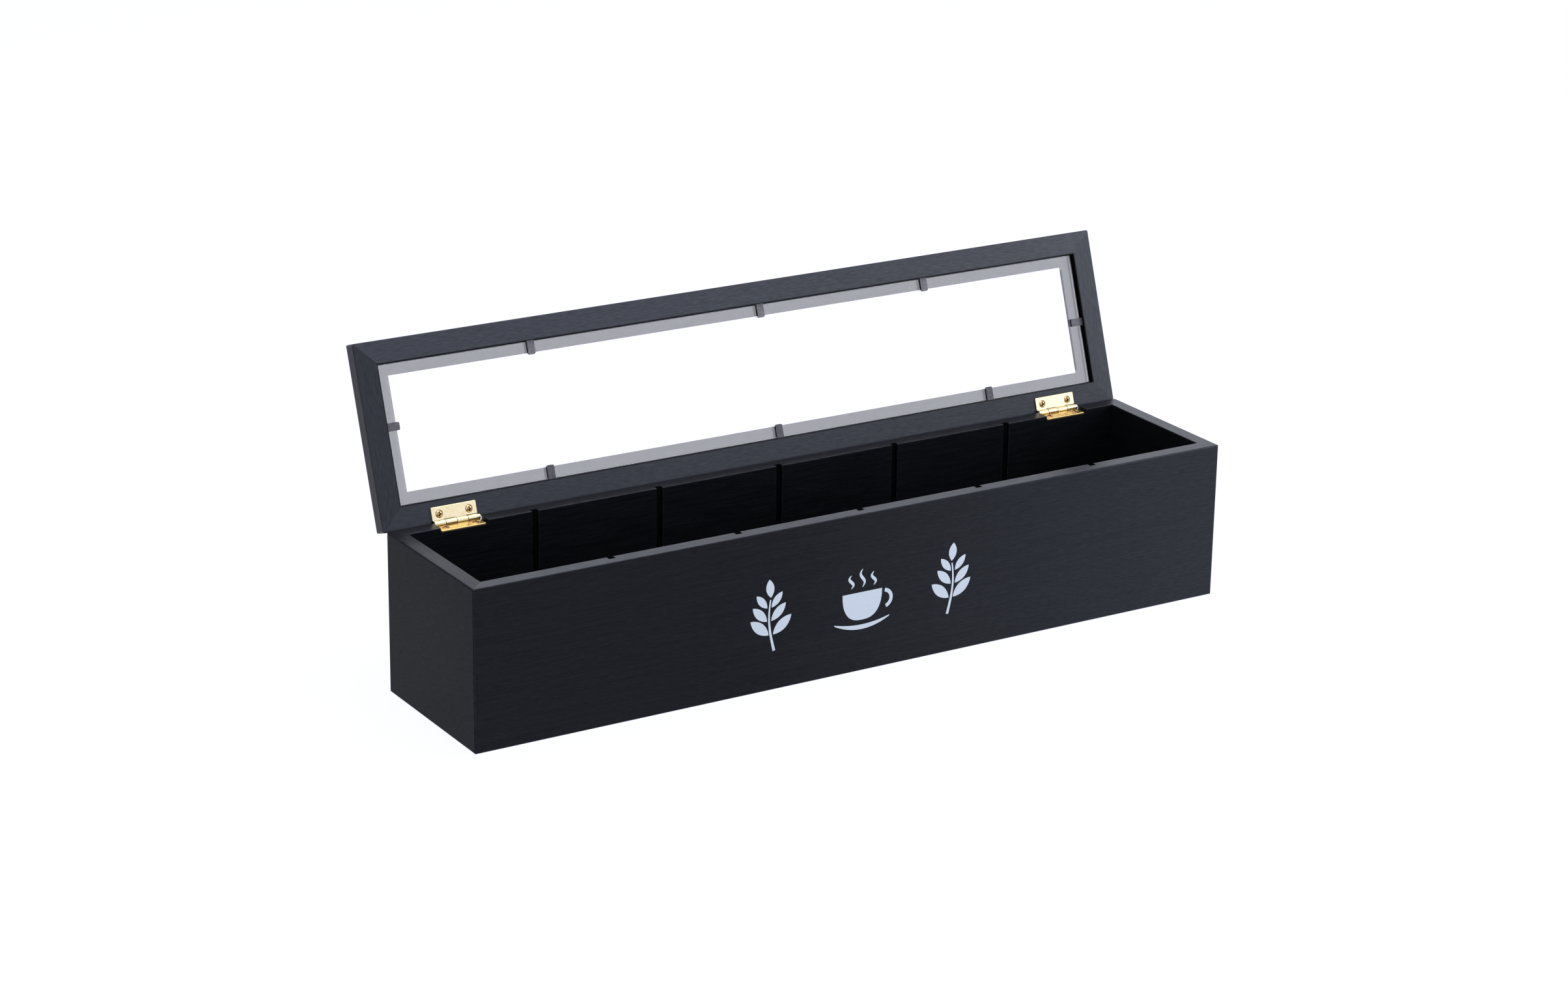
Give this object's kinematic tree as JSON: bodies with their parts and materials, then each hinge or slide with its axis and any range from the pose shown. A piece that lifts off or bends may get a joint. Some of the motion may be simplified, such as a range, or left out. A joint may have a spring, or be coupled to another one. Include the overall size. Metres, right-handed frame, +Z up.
{
  "type": "tea bag box",
  "caption": "Long low box of dark stained boards for tea bags, divided into a row of square compartments, with a hinged mitred lid that frames a clear window.",
  "frame": {"origin": "Middle of the box's flat underside, at the height of the surface that it stands on.", "axes": "X runs along the length of the box from left to right as seen from the front, Y to the back, where the hinges are, and Z up."},
  "size_m": [0.4316, 0.1298, 0.1671],
  "materials": {
    "black_stained_wood": "black stain, satin, fine open grain along each board",
    "divider_board": "black stain, matt",
    "window_glass": "clear sheet glass",
    "tab_metal": "dark, dull strip",
    "hinge_brass": "bright, lightly brushed",
    "screw_brass": "bright, domed heads"
  },
  "bodies": {
    "box": {"front_panel": "black_stained_wood", "back_panel": "black_stained_wood", "left_panel": "black_stained_wood", "right_panel": "black_stained_wood", "bottom_panel": "black_stained_wood", "hinge_left_box_leaf": "hinge_brass", "hinge_left_pin": "hinge_brass", "hinge_left_box_screws": "screw_brass", "hinge_right_box_leaf": "hinge_brass", "hinge_right_pin": "hinge_brass", "hinge_right_box_screws": "screw_brass"},
    "lid": {"lid_front_rail": "black_stained_wood", "lid_hinge_rail": "black_stained_wood", "lid_left_rail": "black_stained_wood", "lid_right_rail": "black_stained_wood", "window_pane": "window_glass", "glazing_tab_1": "tab_metal", "glazing_tab_2": "tab_metal", "glazing_tab_3": "tab_metal", "glazing_tab_4": "tab_metal", "glazing_tab_5": "tab_metal", "glazing_tab_6": "tab_metal", "glazing_tab_7": "tab_metal", "glazing_tab_8": "tab_metal", "hinge_left_lid_leaf": "hinge_brass", "hinge_left_lid_screws": "screw_brass", "hinge_right_lid_leaf": "hinge_brass", "hinge_right_lid_screws": "screw_brass"},
    "divider_body_1": {"divider_1": "divider_board"},
    "divider_body_2": {"divider_2": "divider_board"},
    "divider_body_3": {"divider_3": "divider_board"},
    "divider_body_4": {"divider_4": "divider_board"},
    "divider_body_5": {"divider_5": "divider_board"}
  },
  "joints": [
    {"name": "lid_hinge", "type": "hinge", "parent": "box", "child": "lid", "pos_m": [0, 0.0458, 0.081], "axis": [1, 0, 0], "range_deg": [0, 109]},
    {"name": "divider_1_lift", "type": "slide", "parent": "box", "child": "divider_body_1", "axis": [0, 0, 1], "range_m": [0, 0.035]},
    {"name": "divider_2_lift", "type": "slide", "parent": "box", "child": "divider_body_2", "axis": [0, 0, 1], "range_m": [0, 0.035]},
    {"name": "divider_3_lift", "type": "slide", "parent": "box", "child": "divider_body_3", "axis": [0, 0, 1], "range_m": [0, 0.035]},
    {"name": "divider_4_lift", "type": "slide", "parent": "box", "child": "divider_body_4", "axis": [0, 0, 1], "range_m": [0, 0.035]},
    {"name": "divider_5_lift", "type": "slide", "parent": "box", "child": "divider_body_5", "axis": [0, 0, 1], "range_m": [0, 0.035]}
  ]
}
